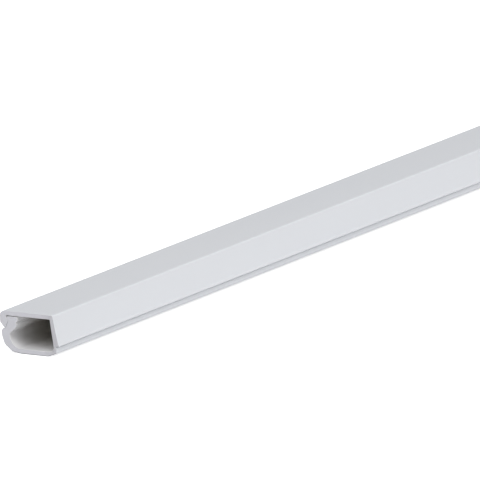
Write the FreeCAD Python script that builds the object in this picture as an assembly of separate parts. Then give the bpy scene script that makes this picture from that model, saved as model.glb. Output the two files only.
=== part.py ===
# Cord cover raceway: one length of hinged plastic trunking, snapped shut.
# The length runs along X, with the cut end that shows its section at -X.
# The latch side is at +Y, the hinge side at -Y, and the flat back rests on Z = 0.
# The origin is in the middle of the back, halfway along the length.
# All sizes are millimetres.

import FreeCAD
import Part
import math
import os

# Overall size
stock_length = 400.0
overall_width = 24.0
overall_height = 14.0

# Thickness of the walls
back_thickness = 1.65
cover_thickness = 1.5
side_thickness = 1.25
latch_wall_thickness = 2.9

# Bevels along the two lower edges of the back, with a shallow toe inside the latch bevel
latch_bevel_width = 4.1
latch_bevel_height = 2.8
latch_toe_width = 7.6
latch_toe_height = 0.45
hinge_bevel_width = 3.8
hinge_bevel_height = 1.2

# Latch wall: it bows out from the bevel up to a shoulder below the cover's lip
latch_wall_lean = 0.95
wall_middle_lean = 0.25
wall_middle_height = 4.9
shoulder_set_in = 0.12
shoulder_drop = 6.2

# Notch between the lip and the shoulder, where a nail opens the cover
notch_depth = 1.4
notch_drop = 5.7

# The cover's lip, with the barb that hooks under the latch head
lip_straight_length = 4.0
lip_root_width = 2.3
lip_toe_width = 0.6
barb_reach = 3.45
barb_drop = 3.3
latch_gap = 0.15

# Latch head on top of the latch wall, with a groove along its inner face
head_clearance = 0.3
head_reach = 7.5
head_side_height = 1.1
head_groove_reach = 6.6
head_groove_height = 2.0
head_bulge_reach = 7.0
head_bulge_height = 2.5
head_underside_reach = 6.2
head_height = 3.7
head_neck_height = 5.6
head_neck_set_in = 0.75

# Hinge side: the cover's side wall, its foot and the thin web that bends
side_lean = 1.5
side_middle_drop = 6.4
side_middle_lean = 0.86
side_inner_lean = 0.5
foot_height = 3.65
foot_land = 0.4
foot_undercut = 0.2
hinge_web = 0.7
hinge_slit = 0.3
strip_set_in = 1.2

# Radii of the corners
ridge_radius = 0.6
lip_shoulder_radius = 2.2
bevel_radius = 1.5
soft_bevel_radius = 3.0
toe_radius = 2.0
wall_bow_radius = 6.0
shoulder_radius = 1.6
channel_corner_radius = 1.8
channel_sweep_radius = 4.0
inner_edge_radius = 0.4
head_edge_radius = 0.8
head_bulge_radius = 2.0
head_corner_radius = 0.6
latch_edge_radius = 0.25
notch_edge_radius = 0.08
side_bow_radius = 30.0

# Largest share of an edge that the arcs at its two ends may take
arc_share = 0.96


def corner(reach, height, radius):
    """One corner of the section: its distance from the latch side, its height, its radius."""
    return (FreeCAD.Vector(0.0, overall_width / 2 - reach, height), radius)


def back_outside():
    """The flat back with its two bevels, then the latch wall up to its shoulder."""
    strip = overall_width - strip_set_in
    return [
        corner(strip, hinge_bevel_height, head_edge_radius),
        corner(strip - hinge_bevel_width, 0.0, soft_bevel_radius),
        corner(latch_toe_width, 0.0, toe_radius),
        corner(latch_bevel_width, latch_toe_height, bevel_radius),
        corner(latch_wall_lean, latch_bevel_height, bevel_radius),
        corner(wall_middle_lean, wall_middle_height, wall_bow_radius),
        corner(shoulder_set_in, overall_height - shoulder_drop, shoulder_radius),
    ]


def latch_head():
    """The head of the latch wall, inside the lip and under the cover, down to its underside."""
    top = overall_height - cover_thickness - head_clearance
    notch = overall_height - notch_drop - latch_gap / 2
    return [
        corner(notch_depth, notch, latch_edge_radius),
        corner(notch_depth + lip_toe_width + latch_gap, notch + latch_gap / 2, latch_edge_radius),
        corner(barb_reach + latch_gap, overall_height - barb_drop, latch_edge_radius),
        corner(lip_root_width + latch_gap, top, head_corner_radius),
        corner(head_reach, top, head_edge_radius),
        corner(head_reach, top - head_side_height, latch_edge_radius),
        corner(head_groove_reach, top - head_groove_height, latch_edge_radius),
        corner(head_bulge_reach, top - head_bulge_height, latch_edge_radius),
        corner(head_underside_reach, top - head_height, head_bulge_radius),
    ]


def channel_inside():
    """The channel's faces: neck of the head, sweep to the floor, hinge-side corner and wall."""
    wall_top = overall_width - side_lean - side_thickness
    neck = overall_height - cover_thickness - head_clearance - head_neck_height
    return [
        corner(latch_wall_thickness + head_neck_set_in, neck, latch_edge_radius),
        corner(latch_wall_thickness, back_thickness, channel_sweep_radius),
        corner(wall_top + side_inner_lean, back_thickness, channel_corner_radius),
        corner(wall_top + side_inner_lean, foot_height, inner_edge_radius),
        corner(wall_top, overall_height - cover_thickness, inner_edge_radius),
    ]


def cover_lip():
    """The cover's lip: its root, the barb that holds under the head, its toe and outer face."""
    notch = overall_height - notch_drop + latch_gap / 2
    return [
        corner(lip_root_width, overall_height - cover_thickness, latch_edge_radius),
        corner(barb_reach, overall_height - barb_drop, latch_edge_radius),
        corner(notch_depth + lip_toe_width, notch + latch_gap / 2, latch_edge_radius),
        corner(notch_depth, notch, notch_edge_radius),
        corner(0.0, overall_height - lip_straight_length, head_corner_radius),
        corner(0.0, overall_height, lip_shoulder_radius),
    ]


def cover_side():
    """The hinge side of the cover, from the ridge down to the land on its foot."""
    middle = overall_width - side_lean + side_middle_lean
    return [
        corner(overall_width - side_lean, overall_height, ridge_radius),
        corner(middle, overall_height - side_middle_drop, side_bow_radius),
        corner(overall_width, foot_height + foot_land, head_edge_radius),
        corner(overall_width, foot_height, notch_edge_radius),
    ]


def hinge_groove():
    """The groove under the foot, which leaves a thin web for the cover to swing on."""
    web = overall_width - side_lean - side_thickness + side_inner_lean + hinge_web
    strip = overall_width - strip_set_in
    groove_top = foot_height - foot_undercut
    return [
        corner(strip, groove_top, notch_edge_radius),
        corner(web, groove_top, notch_edge_radius),
        corner(web, groove_top - hinge_slit, notch_edge_radius),
        corner(strip, groove_top - hinge_slit, latch_edge_radius),
    ]


def half_angle(corners, index):
    """Half of the angle between the two edges that meet at a corner."""
    here = corners[index][0]
    before = corners[index - 1][0] - here
    after = corners[(index + 1) % len(corners)][0] - here
    return before.getAngle(after) / 2


def edge_length(corners, index):
    """Length of the straight edge from a corner to the next one."""
    return corners[index][0].distanceToPoint(corners[(index + 1) % len(corners)][0])


def arc_runs(corners):
    """How far each corner's arc reaches along its edges, shortened where an edge is too short."""
    count = len(corners)
    wanted = [corners[i][1] / math.tan(half_angle(corners, i)) for i in range(count)]
    shares = [
        min(1.0, edge_length(corners, i) * arc_share / (wanted[i] + wanted[(i + 1) % count]))
        for i in range(count)
    ]
    return [wanted[i] * min(shares[i - 1], shares[i]) for i in range(count)]


def corner_arc(corners, index, run):
    """The arc that rounds one corner, from its edge before to its edge after."""
    here = corners[index][0]
    to_before = (corners[index - 1][0] - here).normalize()
    to_after = (corners[(index + 1) % len(corners)][0] - here).normalize()
    half = half_angle(corners, index)
    radius = run * math.tan(half)
    middle = here + (to_before + to_after).normalize() * (radius / math.sin(half) - radius)
    return Part.Arc(here + to_before * run, middle, here + to_after * run)


def rounded_face(corners):
    """A flat face bounded by straight edges, with an arc at every corner."""
    arcs = [corner_arc(corners, index, run) for index, run in enumerate(arc_runs(corners))]
    edges = []
    for index, arc in enumerate(arcs):
        following = arcs[(index + 1) % len(arcs)]
        edges.append(arc.toShape())
        edges.append(Part.makeLine(arc.EndPoint, following.StartPoint))
    return Part.Face(Part.Wire(edges))


def raceway_channel():
    """The whole raceway: its section, drawn once and run along the stock length."""
    corners = (
        back_outside()
        + latch_head()
        + channel_inside()
        + cover_lip()
        + cover_side()
        + hinge_groove()
    )
    section = rounded_face(corners)
    section.translate(FreeCAD.Vector(-stock_length / 2, 0.0, 0.0))
    return section.extrude(FreeCAD.Vector(stock_length, 0.0, 0.0))


os.makedirs("parts", exist_ok=True)
raceway_channel().exportStep("parts/raceway_channel.step")
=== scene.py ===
import math

import bpy
import numpy as np
from mathutils import Matrix, Vector
from mathutils.geometry import delaunay_2d_cdt


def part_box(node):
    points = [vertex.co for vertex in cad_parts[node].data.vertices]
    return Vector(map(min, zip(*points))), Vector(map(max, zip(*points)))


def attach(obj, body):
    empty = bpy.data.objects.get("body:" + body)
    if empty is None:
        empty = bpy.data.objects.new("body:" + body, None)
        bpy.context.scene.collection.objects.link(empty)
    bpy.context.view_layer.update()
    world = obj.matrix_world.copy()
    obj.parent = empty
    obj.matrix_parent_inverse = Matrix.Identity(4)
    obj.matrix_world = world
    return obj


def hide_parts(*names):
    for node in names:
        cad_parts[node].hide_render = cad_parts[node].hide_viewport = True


# A length of snap-shut cord cover, drawn in one section and cut square from long stock.
# Lengths are in metres, in the frame of the solid model: +X along the stock, with the
# cut end that faces the camera at -X, the latch side at +Y and the flat back on Z = 0.

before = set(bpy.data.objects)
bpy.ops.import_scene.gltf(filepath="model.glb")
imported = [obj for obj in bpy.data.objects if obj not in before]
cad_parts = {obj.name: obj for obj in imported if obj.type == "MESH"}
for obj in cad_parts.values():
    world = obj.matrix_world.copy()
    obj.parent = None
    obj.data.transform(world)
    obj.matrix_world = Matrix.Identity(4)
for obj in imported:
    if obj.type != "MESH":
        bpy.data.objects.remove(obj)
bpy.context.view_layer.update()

MM = 0.001
CHANNEL = "raceway_channel"
low_corner, high_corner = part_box(CHANNEL)
stock_length = high_corner[0] - low_corner[0]
overall_width = high_corner[1] - low_corner[1]
overall_height = high_corner[2] - low_corner[2]
latch_side = high_corner[1]

# Walls of the section
back_thickness = 1.65 * MM
cover_thickness = 1.5 * MM
side_thickness = 1.25 * MM
latch_wall_thickness = 2.9 * MM

# Bevels of the back, with a shallow toe inside the latch bevel
latch_bevel_width = 4.1 * MM
latch_bevel_height = 2.8 * MM
latch_toe_width = 7.6 * MM
latch_toe_height = 0.45 * MM
hinge_bevel_width = 3.8 * MM
hinge_bevel_height = 1.2 * MM

# Latch wall and the notch above its shoulder
latch_wall_lean = 0.95 * MM
wall_middle_lean = 0.25 * MM
wall_middle_height = 4.9 * MM
shoulder_set_in = 0.12 * MM
shoulder_drop = 6.2 * MM
notch_depth = 1.4 * MM
notch_drop = 5.7 * MM

# The cover's lip with its barb, and the latch head with the groove in its inner face
lip_straight_length = 4.0 * MM
lip_root_width = 2.3 * MM
lip_toe_width = 0.6 * MM
barb_reach = 3.45 * MM
barb_drop = 3.3 * MM
latch_gap = 0.15 * MM
head_clearance = 0.3 * MM
head_reach = 7.5 * MM
head_side_height = 1.1 * MM
head_groove_reach = 6.6 * MM
head_groove_height = 2.0 * MM
head_bulge_reach = 7.0 * MM
head_bulge_height = 2.5 * MM
head_underside_reach = 6.2 * MM
head_height = 3.7 * MM
head_neck_height = 5.6 * MM
head_neck_set_in = 0.75 * MM

# Fall of the cover towards its ridge, drawn here only
crown_reach = 15.0 * MM
ridge_fall = 0.15 * MM

# Cover side wall, foot and web
side_lean = 1.5 * MM
side_middle_drop = 6.4 * MM
side_middle_lean = 0.86 * MM
side_inner_lean = 0.5 * MM
foot_height = 3.65 * MM
foot_land = 0.4 * MM
foot_lip = 0.2 * MM
foot_undercut = 0.2 * MM
hinge_web = 0.7 * MM
hinge_slit = 0.3 * MM
strip_set_in = 1.2 * MM

# Radii of the section's corners
ridge_radius = 0.6 * MM
lip_shoulder_radius = 2.2 * MM
bevel_radius = 1.5 * MM
soft_bevel_radius = 3.0 * MM
toe_radius = 2.0 * MM
wall_bow_radius = 6.0 * MM
shoulder_radius = 1.6 * MM
channel_corner_radius = 1.8 * MM
channel_sweep_radius = 4.0 * MM
inner_edge_radius = 0.4 * MM
head_edge_radius = 0.8 * MM
head_bulge_radius = 2.0 * MM
head_corner_radius = 0.6 * MM
latch_edge_radius = 0.25 * MM
notch_edge_radius = 0.08 * MM
side_bow_radius = 30.0 * MM
crown_radius = 700.0 * MM
arc_share = 0.96

# How finely the section and the length are divided, and the broken edge at each cut
arc_step = math.radians(7.5)
flat_step = 0.8 * MM
station_step = 10.0 * MM
edge_break = 0.07 * MM
edge_break_steps = 5
same_point_distance = 1e-9

# Corners, counted round the section from the back's first one, that bound its inside
first_inside = 9
last_inside = 21

# Colours of the plastic, as the two that each pattern runs between. The channel's two, the cut's darker
# two and the single edge colour are painted shade, not the plastic's own colour
skin_colours = (0.765, 0.78, 0.812, 1), (0.785, 0.797, 0.825, 1)
channel_shade_colours = (0.54, 0.515, 0.475, 1), (0.86, 0.855, 0.865, 1)
cut_colours = (0.715, 0.711, 0.76, 1), (0.755, 0.748, 0.79, 1)
shaded_cut_colours = (0.615, 0.608, 0.645, 1), (0.655, 0.65, 0.685, 1)
contact_shadow_colour = (0.40, 0.39, 0.41, 1)

# Where the painted shade changes: depth from a cut into the channel, way from the middle towards the
# hinge side on a cut, and height over the back under a cut's painted contact shadow
channel_light_depth = 2.0 * MM
channel_dark_depth = 15.0 * MM
shaded_cut_start = 5.5 * MM
shaded_cut_end = 9.5 * MM
contact_shadow_height = 0.1 * MM
contact_shadow_clear_height = 0.4 * MM

# Patterns of the plastic: how often they change in a metre along X, Y and Z, and their strength
die_line_scale = (3.0, 1300.0, 1300.0)
clouding_scale = (22.0, 60.0, 60.0)
grain_scale = (4200.0, 4200.0, 4200.0)
saw_mark_scale = (1.0, 2600.0, 160.0)
saw_mark_turn = (math.radians(14), 0, 0)
no_turn = (0, 0, 0)
bump_depth = 0.006 * MM
grain_share = 0.1
saw_mark_share = 2.5
skin_roughness = 0.36
die_line_roughness = 0.1
cut_roughness = 0.2
plastic_ior = 1.5

# The floor, and the lengths of ray over which it turns from clear to solid under the back
floor_reach = 3.0
floor_drop = 0.05 * MM
floor_colour = (0.9, 0.9, 0.9, 1)
floor_glow = 0.75
clear_ray_length = 0.2 * MM
solid_ray_length = 0.4 * MM

# Plain white, the light from all round, and the size and distance of the lamps
plain_white = (1, 1, 1, 1)
soft_light_colour = (0.97, 0.985, 1.0, 1)
soft_light_strength = 0.3
lamp_size = 3.2
lamp_distance = 4.8

# The photograph: its width, the focal length that keeps its lines parallel, its direction
photo_width = 480
sensor_width = 36.0
focal_length = 1650.0
view_azimuth = math.radians(-48.92)
view_elevation = math.radians(13.76)
view_roll = math.radians(6.0)

# Pixels to the metre at a place this far along the stock, and where the ridge's near end lies
photo_scale = 3083.0
scaled_place = 0.105
ridge_end_pixel = (52.0, 315.5)


class Field:
    """A socket whose value changes over a surface. Arithmetic on it adds Math nodes."""

    def __init__(self, finish, socket):
        self.finish = finish
        self.socket = socket

    def math(self, operation, first, second=0.0):
        return self.finish.node("Math", {"operation": operation}, {0: first, 1: second})

    def __add__(self, other):
        return self.math("ADD", self, other)

    def __radd__(self, other):
        return self.math("ADD", other, self)

    def __sub__(self, other):
        return self.math("SUBTRACT", self, other)

    def __rsub__(self, other):
        return self.math("SUBTRACT", other, self)

    def __mul__(self, other):
        return self.math("MULTIPLY", self, other)

    def __rmul__(self, other):
        return self.math("MULTIPLY", other, self)

    def at_least(self, other):
        """The larger of this and another."""
        return self.math("MAXIMUM", self, other)

    def size(self):
        """How far this is from 0, either way."""
        return self.math("ABSOLUTE", self)

    def between(self, low, high):
        """0 below low, 1 above high and a straight ramp in between."""
        inputs = {"Value": self, "From Min": low, "From Max": high}
        return self.finish.node("MapRange", {"clamp": True}, inputs)


class Finish:
    """The nodes of a material or of the world, in the making."""

    def __init__(self, owner):
        self.owner = owner
        self.owner.use_nodes = True
        self.tree = self.owner.node_tree
        self.tree.nodes.clear()

    def node(self, kind, settings=None, inputs=None, output=0):
        """Adds one node: its settings first, then the values or links of its sockets."""
        made = self.tree.nodes.new("ShaderNode" + kind)
        for name, value in (settings or {}).items():
            setattr(made, name, value)
        for name, value in (inputs or {}).items():
            if isinstance(value, Field):
                self.tree.links.new(value.socket, made.inputs[name])
            else:
                made.inputs[name].default_value = value
        return Field(self, made.outputs[output])

    def blend(self, first, second, share):
        """A colour between two, at a share that runs from 0 to 1."""
        return self.node("Mix", {"data_type": "RGBA"}, {0: share, 6: first, 7: second}, output=2)

    def stretched_noise(self, turn, scale, detail, roughness=0.5):
        """Noise on Object coordinates, turned and then scaled by its own amount along each axis."""
        place = self.node("TexCoord", output="Object")
        place = self.node("Mapping", {"vector_type": "POINT"}, {"Vector": place, "Rotation": turn})
        place = self.node("Mapping", {"vector_type": "POINT"}, {"Vector": place, "Scale": scale})
        inputs = {"Vector": place, "Scale": 1.0, "Detail": detail, "Roughness": roughness}
        return self.node("TexNoise", {}, inputs, output="Fac")

    def surface(self, shader, kind="Material"):
        """The finished material or world, with this shader on its output."""
        out = self.tree.nodes.new("ShaderNodeOutput" + kind)
        self.tree.links.new(shader.socket, out.inputs["Surface"])
        return self.owner


def corner(reach, height, radius):
    """One corner of the section: its distance from the latch side, its height, its radius."""
    return (latch_side - reach, height, radius)


def section_corners():
    """All corners of the section, in order round its outline, as rows of y, z and radius."""
    strip = overall_width - strip_set_in
    ceiling = overall_height - cover_thickness
    head_top = ceiling - head_clearance
    notch = overall_height - notch_drop
    wall_top = overall_width - side_lean - side_thickness
    web = wall_top + side_inner_lean + hinge_web
    groove_top = foot_height - foot_undercut
    back = [
        corner(strip, hinge_bevel_height, head_edge_radius),
        corner(strip - hinge_bevel_width, 0.0, soft_bevel_radius),
        corner(latch_toe_width, 0.0, toe_radius),
        corner(latch_bevel_width, latch_toe_height, bevel_radius),
        corner(latch_wall_lean, latch_bevel_height, bevel_radius),
        corner(wall_middle_lean, wall_middle_height, wall_bow_radius),
        corner(shoulder_set_in, overall_height - shoulder_drop, shoulder_radius),
    ]
    head = [
        corner(notch_depth, notch - latch_gap / 2, latch_edge_radius),
        corner(notch_depth + lip_toe_width + latch_gap, notch, latch_edge_radius),
        corner(barb_reach + latch_gap, overall_height - barb_drop, latch_edge_radius),
        corner(lip_root_width + latch_gap, head_top, head_corner_radius),
        corner(head_reach, head_top, head_edge_radius),
        corner(head_reach, head_top - head_side_height, latch_edge_radius),
        corner(head_groove_reach, head_top - head_groove_height, latch_edge_radius),
        corner(head_bulge_reach, head_top - head_bulge_height, latch_edge_radius),
        corner(head_underside_reach, head_top - head_height, head_bulge_radius),
    ]
    channel = [
        corner(latch_wall_thickness + head_neck_set_in, head_top - head_neck_height, latch_edge_radius),
        corner(latch_wall_thickness, back_thickness, channel_sweep_radius),
        corner(wall_top + side_inner_lean, back_thickness, channel_corner_radius),
        corner(wall_top + side_inner_lean, foot_height, inner_edge_radius),
        corner(wall_top, ceiling, inner_edge_radius),
    ]
    lip = [
        corner(lip_root_width, ceiling, latch_edge_radius),
        corner(barb_reach, overall_height - barb_drop, latch_edge_radius),
        corner(notch_depth + lip_toe_width, notch + latch_gap, latch_edge_radius),
        corner(notch_depth, notch + latch_gap / 2, notch_edge_radius),
        corner(0.0, overall_height - lip_straight_length, head_corner_radius),
        corner(0.0, overall_height, lip_shoulder_radius),
    ]
    side_middle = overall_width - side_lean + side_middle_lean
    side = [
        corner(crown_reach, overall_height, crown_radius),
        corner(overall_width - side_lean, overall_height - ridge_fall, ridge_radius),
        corner(side_middle, overall_height - side_middle_drop, side_bow_radius),
        corner(overall_width - foot_lip, foot_height + 2 * foot_land, head_edge_radius),
        corner(overall_width, foot_height + foot_land, head_edge_radius),
        corner(overall_width, foot_height, notch_edge_radius),
    ]
    groove = [
        corner(strip, groove_top, notch_edge_radius),
        corner(web, groove_top, notch_edge_radius),
        corner(web, groove_top - hinge_slit, notch_edge_radius),
        corner(strip, groove_top - hinge_slit, latch_edge_radius),
    ]
    return np.array(back + head + channel + lip + side + groove)


def corner_arcs(corners):
    """The arc at every corner, as two lists of y, z rows: its points and their outward normals.

    An arc starts radius / tan(half angle) along each edge from its corner, or nearer where the
    edge is too short. Its points lie one radius from its centre, at equal turns. The outline
    runs so that the plastic is on its left, so an arc that turns left is convex.
    """
    places, radii = corners[:, :2], corners[:, 2]
    to_before = np.roll(places, 1, axis=0) - places
    to_after = np.roll(places, -1, axis=0) - places
    edges = np.linalg.norm(to_after, axis=1)
    to_before /= np.linalg.norm(to_before, axis=1)[:, None]
    to_after /= edges[:, None]
    half = np.arccos(np.clip((to_before * to_after).sum(1), -1, 1)) / 2
    runs = radii / np.tan(half)
    shares = np.minimum(1.0, edges * arc_share / (runs + np.roll(runs, -1)))
    runs = runs * np.minimum(np.roll(shares, 1), shares)
    radii = runs * np.tan(half)
    inward = to_before + to_after
    inward /= np.linalg.norm(inward, axis=1)[:, None]
    centres = places + inward * (radii / np.sin(half))[:, None]
    points, normals = [], []
    for place, centre, before, after, run, radius, half_turn in zip(
            places, centres, to_before, to_after, runs, radii, math.pi / 2 - half):
        start = place + before * run - centre
        end = place + after * run - centre
        bend = np.sign(start[0] * end[1] - start[1] * end[0])
        steps = max(2, math.ceil(2 * half_turn / arc_step))
        turn = bend * 2 * half_turn * np.linspace(0, 1, steps + 1)
        across, up = np.cos(turn), np.sin(turn)
        around = np.stack([start[0] * across - start[1] * up, start[0] * up + start[1] * across], axis=1)
        points.append(centre + around)
        normals.append(bend * around / radius)
    return points, normals


def section_outline():
    """The whole outline, its outward normals, and 1 where it bounds the inside of the channel.

    Straight runs are cut into equal steps of about flat_step.
    """
    points, normals = corner_arcs(section_corners())
    places, outward, inside = [], [], []
    for number, (arc, facing) in enumerate(zip(points, normals)):
        start, end = arc[-1], points[(number + 1) % len(points)][0]
        steps = max(1, round(float(np.linalg.norm(end - start)) / flat_step))
        share = np.linspace(0, 1, steps + 1)[1:-1, None]
        places += [arc, start + (end - start) * share]
        outward += [facing, facing[-1] + 0 * share]
        inside += [float(first_inside <= number <= last_inside)] * (len(arc) + len(share))
    return np.concatenate(places), np.concatenate(outward), np.array(inside)


def length_stations():
    """Positions along the stock, how far the section is drawn in there, and the turn of its edge.

    Near a cut the edge is broken by a quarter round: at a turn t from 0 to 90 degrees the
    station lies edge_break * (1 - sin t) inside the cut, and the section is drawn in by
    edge_break * (1 - cos t).
    """
    turn = np.linspace(math.pi / 2, 0, edge_break_steps)
    into = edge_break * (1 - np.sin(turn))
    count = round((stock_length - 2 * edge_break) / station_step)
    middle = np.linspace(edge_break, stock_length - edge_break, count + 1)[1:-1]
    along = low_corner[0] + np.concatenate([into, middle, (stock_length - into)[::-1]])
    turns = np.concatenate([turn, 0 * middle, -turn[::-1]])
    return along, edge_break * (1 - np.cos(turns)), turns


def long_faces():
    """Grid of points and normals of the long faces: the outline carried along the stock.

    A point is the outline's own, moved against its normal by the inset. Its normal leans
    from the outline's normal towards the nearer cut by the turn of the broken edge.
    """
    places, outward, inside = section_outline()
    along, inset, turns = length_stations()
    grid = np.empty((len(along), len(places), 3))
    grid[:, :, 0] = along[:, None]
    grid[:, :, 1:] = places[None] - outward[None] * inset[:, None, None]
    facing = np.empty_like(grid)
    facing[:, :, 0] = -np.sin(turns)[:, None]
    facing[:, :, 1:] = outward[None] * np.cos(turns)[:, None, None]
    return grid, facing, np.broadcast_to(inside, grid.shape[:2])


def long_face_quads(rows, columns):
    """Corner numbers of the quads between the grid's rows, closed round the outline."""
    row, column = np.meshgrid(np.arange(rows - 1) * columns, np.arange(columns), indexing="ij")
    beside = (column + 1) % columns
    following = row + columns
    return np.stack([row + column, row + beside, following + beside, following + column], axis=-1)


def cut_triangles(ring):
    """Triangles that fill one cut face between the points of its own outline."""
    count = len(ring)
    loop = [(i, (i + 1) % count) for i in range(count)]
    flat = [Vector(point) for point in ring.tolist()]
    whole = [list(range(count))]
    _, _, faces, sources, _, _ = delaunay_2d_cdt(flat, loop, whole, 1, same_point_distance)
    return np.array([[sources[i][0] for i in face] for face in faces])


def drawn_channel():
    """The raceway as one closed mesh: long faces and two cut faces, with its own normals.

    The cut faces have points of their own, which carry 1 in the attribute cut_end. The long
    faces inside the channel carry 1 in the attribute channel_inside.
    """
    grid, facing, inside = long_faces()
    rows, columns = grid.shape[:2]
    near, far = grid[0], grid[-1]
    near_first, far_first = rows * columns, (rows + 1) * columns
    quads = long_face_quads(rows, columns).reshape(-1, 4)
    near_cut = cut_triangles(near[:, 1:])[:, ::-1] + near_first
    far_cut = cut_triangles(far[:, 1:]) + far_first
    points = np.concatenate([grid.reshape(-1, 3), near, far])
    along = np.array([1.0, 0.0, 0.0])
    normals = np.concatenate([facing.reshape(-1, 3), 0 * near - along, 0 * far + along])
    mesh = bpy.data.meshes.new("drawn_channel")
    mesh.from_pydata(points.tolist(), [], quads.tolist() + near_cut.tolist() + far_cut.tolist())
    mesh.shade_smooth()
    mesh.normals_split_custom_set_from_vertices(normals.tolist())
    on_cut = np.zeros(len(points), dtype=np.float32)
    on_cut[near_first:] = 1.0
    in_channel = np.zeros(len(points), dtype=np.float32)
    in_channel[:near_first] = inside.ravel()
    mesh.attributes.new("cut_end", "FLOAT", "POINT").data.foreach_set("value", on_cut)
    mesh.attributes.new("channel_inside", "FLOAT", "POINT").data.foreach_set("value", in_channel)
    piece = bpy.data.objects.new("drawn_channel", mesh)
    bpy.context.collection.objects.link(piece)
    return piece


def height_above_back(upward, reach):
    """Height over the back's lower face, which rises along the latch toe and both bevels.

    That face lies at the largest of 0 and the three slopes, each a straight line in reach,
    the distance from the latch side.
    """
    toe_slope = latch_toe_height / (latch_toe_width - latch_bevel_width)
    latch_slope = (latch_bevel_height - latch_toe_height) / (latch_bevel_width - latch_wall_lean)
    hinge_start = overall_width - strip_set_in - hinge_bevel_width
    toe = (latch_toe_width - reach) * toe_slope
    latch_bevel = (latch_bevel_width - reach) * latch_slope + latch_toe_height
    hinge_bevel = (reach - hinge_start) * (hinge_bevel_height / hinge_bevel_width)
    return upward - toe.at_least(latch_bevel).at_least(hinge_bevel).at_least(0.0)


def white_rigid_plastic():
    """White rigid plastic: a satin skin with faint die lines, and a duller sawn end.

    Die lines are noise drawn out along the stock, and move the bump and the roughness. Saw
    marks are noise drawn out across the cut, a little off the upright, and move the cut's
    bump and colour. The channel's faces carry painted shade that darkens with the depth from
    the nearer cut. A cut carries painted shade that darkens towards the hinge side, and a
    painted contact shadow along the back's lower face.
    """
    finish = Finish(bpy.data.materials.new("white_rigid_plastic"))
    on_cut = finish.node("Attribute", {"attribute_name": "cut_end"}, output="Fac")
    in_channel = finish.node("Attribute", {"attribute_name": "channel_inside"}, output="Fac")
    place = finish.node("TexCoord", output="Object")
    along = finish.node("SeparateXYZ", {}, {"Vector": place}, output="X")
    across = finish.node("SeparateXYZ", {}, {"Vector": place}, output="Y")
    upward = finish.node("SeparateXYZ", {}, {"Vector": place}, output="Z")
    die_lines = finish.stretched_noise(no_turn, die_line_scale, detail=3.0)
    clouding = finish.stretched_noise(no_turn, clouding_scale, detail=2.0)
    grain = finish.stretched_noise(no_turn, grain_scale, detail=1.0)
    saw_marks = finish.stretched_noise(saw_mark_turn, saw_mark_scale, detail=4.0, roughness=0.6)
    skin = finish.blend(*skin_colours, clouding)
    # Painted shade: the channel's colour darkens from a cut into its depth
    dark_end = stock_length / 2 - channel_dark_depth
    light_end = stock_length / 2 - channel_light_depth
    channel = finish.blend(*channel_shade_colours, along.size().between(dark_end, light_end))
    skin = finish.blend(skin, channel, in_channel)
    cut = finish.blend(*cut_colours, saw_marks)
    # Painted shade: a cut darkens from the middle towards the hinge side
    shaded_cut = finish.blend(*shaded_cut_colours, saw_marks)
    cut = finish.blend(cut, shaded_cut, (0 - across).between(shaded_cut_start, shaded_cut_end))
    # Painted contact shadow: a cut darkens along its edge on the back's lower face
    above_back = height_above_back(upward, latch_side - across)
    clear_of_contact_shadow = above_back.between(contact_shadow_height, contact_shadow_clear_height)
    cut = finish.blend(contact_shadow_colour, cut, clear_of_contact_shadow)
    colour = finish.blend(skin, cut, on_cut)
    skin_height = die_lines * (1 - grain_share) + grain * grain_share
    height = skin_height * (1 - on_cut) + saw_marks * on_cut * saw_mark_share
    bump_inputs = {"Height": height, "Strength": 1.0, "Distance": bump_depth}
    bump = finish.node("Bump", {}, bump_inputs, output="Normal")
    roughness = skin_roughness + (die_lines - 0.5) * die_line_roughness + on_cut * cut_roughness
    shader = finish.node("BsdfPrincipled", {}, {
        "Base Color": colour,
        "Roughness": roughness,
        "IOR": plastic_ior,
        "Normal": bump,
    })
    return finish.surface(shader)


def pale_floor():
    """A matt white floor that reads as white paper to the camera and keeps its shadow.

    The camera sees through it from below. So do the short rays that leave the back just
    over it, which lights the back for that view.
    """
    finish = Finish(bpy.data.materials.new("white_paper_floor"))
    camera_ray = finish.node("LightPath", output="Is Camera Ray")
    paper = finish.node("BsdfDiffuse", {}, {"Color": floor_colour, "Roughness": 0.0})
    glow_inputs = {"Color": plain_white, "Strength": camera_ray * floor_glow}
    glow = finish.node("Emission", {}, glow_inputs)
    lit = finish.node("AddShader", {}, {0: paper, 1: glow})
    clear = finish.node("BsdfTransparent")
    from_below = finish.node("NewGeometry", output="Backfacing")
    ray_length = finish.node("LightPath", output="Ray Length")
    from_the_back = 1 - ray_length.between(clear_ray_length, solid_ray_length)
    see_through = from_the_back.at_least(camera_ray * from_below)
    shader = finish.node("MixShader", {}, {0: see_through, 1: lit, 2: clear})
    return finish.surface(shader)


def lay_floor():
    """A square floor just under the back of the raceway."""
    signs = ((-1, -1), (1, -1), (1, 1), (-1, 1))
    corners = [(x * floor_reach, y * floor_reach, -floor_drop) for x, y in signs]
    mesh = bpy.data.meshes.new("floor")
    mesh.from_pydata(corners, [], [(0, 1, 2, 3)])
    floor = bpy.data.objects.new("floor", mesh)
    bpy.context.collection.objects.link(floor)
    floor.data.materials.append(pale_floor())


def white_surroundings():
    """Even light from all round, seen as plain white by the camera and through glass.

    The satin skin mirrors the even light and not that white, which would only light it more.
    """
    world = bpy.data.worlds.new("white_surroundings")
    bpy.context.scene.world = world
    finish = Finish(world)
    camera_ray = finish.node("LightPath", output="Is Camera Ray")
    through_glass = finish.node("LightPath", output="Is Transmission Ray")
    seen = camera_ray.at_least(through_glass)
    soft_inputs = {"Color": soft_light_colour, "Strength": soft_light_strength}
    soft = finish.node("Background", {}, soft_inputs)
    white = finish.node("Background", {}, {"Color": plain_white, "Strength": 1.0})
    finish.surface(finish.node("MixShader", {}, {0: seen, 1: soft, 2: white}), "World")


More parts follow.
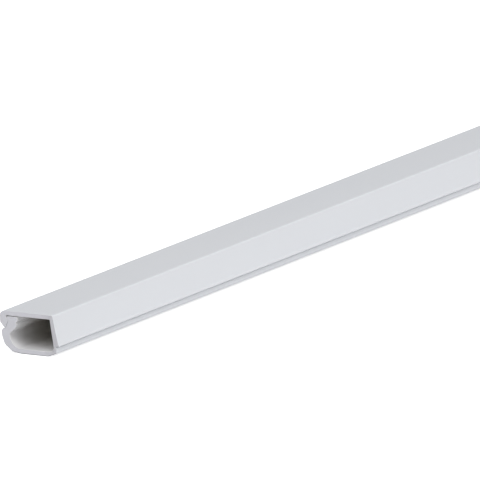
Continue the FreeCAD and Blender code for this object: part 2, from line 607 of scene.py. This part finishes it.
def hang_lamp(name, direction, power):
    """A square soft lamp that stands off the object along a direction and faces it."""
    lamp = bpy.data.lights.new(name, "AREA")
    lamp.shape = "SQUARE"
    lamp.size = lamp_size
    lamp.energy = power
    holder = bpy.data.objects.new(name, lamp)
    bpy.context.collection.objects.link(holder)
    towards = Vector(direction).normalized()
    holder.location = towards * lamp_distance
    holder.rotation_euler = towards.to_track_quat("Z", "Y").to_euler()
    holder.visible_camera = False


def photo_camera():
    """A camera in the photograph's direction that puts the near end of the ridge on its pixel.

    Its axes come from the azimuth, the elevation and the roll. It stands where a metre takes
    photo_scale pixels at scaled_place along the stock, so the near end is nearer by that way's
    share along the view. The ridge's near end is found from the picture's middle by its
    offset in pixels, over the pixels that a metre takes there.
    """
    across = Vector((math.cos(view_azimuth), math.sin(view_azimuth), 0))
    back = Vector((
        math.sin(view_azimuth) * math.cos(view_elevation),
        -math.cos(view_azimuth) * math.cos(view_elevation),
        math.sin(view_elevation),
    ))
    upright = back.cross(across)
    right = across * math.cos(view_roll) - upright * math.sin(view_roll)
    up = upright * math.cos(view_roll) + across * math.sin(view_roll)
    focal_pixels = focal_length / sensor_width * photo_width
    distance = focal_pixels / photo_scale + scaled_place * back.x
    scale = focal_pixels / distance
    ridge_end = Vector((low_corner[0], latch_side - overall_width + side_lean, overall_height))
    middle_pixel = photo_width / 2
    centre = ridge_end + right * ((middle_pixel - ridge_end_pixel[0]) / scale)
    centre = centre - up * ((middle_pixel - ridge_end_pixel[1]) / scale)
    data = bpy.data.cameras.new("photo_camera")
    data.lens = focal_length
    data.sensor_width = sensor_width
    data.clip_start = distance / 2
    data.clip_end = distance * 2
    camera = bpy.data.objects.new("photo_camera", data)
    bpy.context.collection.objects.link(camera)
    axes = Matrix((right, up, back)).transposed().to_4x4()
    camera.matrix_world = Matrix.Translation(centre + back * distance) @ axes
    bpy.context.scene.camera = camera


channel = drawn_channel()
channel.data.materials.append(white_rigid_plastic())
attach(channel, "root")
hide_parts(CHANNEL)

lay_floor()
white_surroundings()
hang_lamp("side_lamp", (-0.2, -1.0, 1.0), 104.0)
hang_lamp("front_lamp", (-1.0, -0.3, 1.8), 79.0)
hang_lamp("top_lamp", (0.2, 0.1, 1.0), 14.0)
photo_camera()
bpy.context.scene.view_settings.view_transform = "Standard"
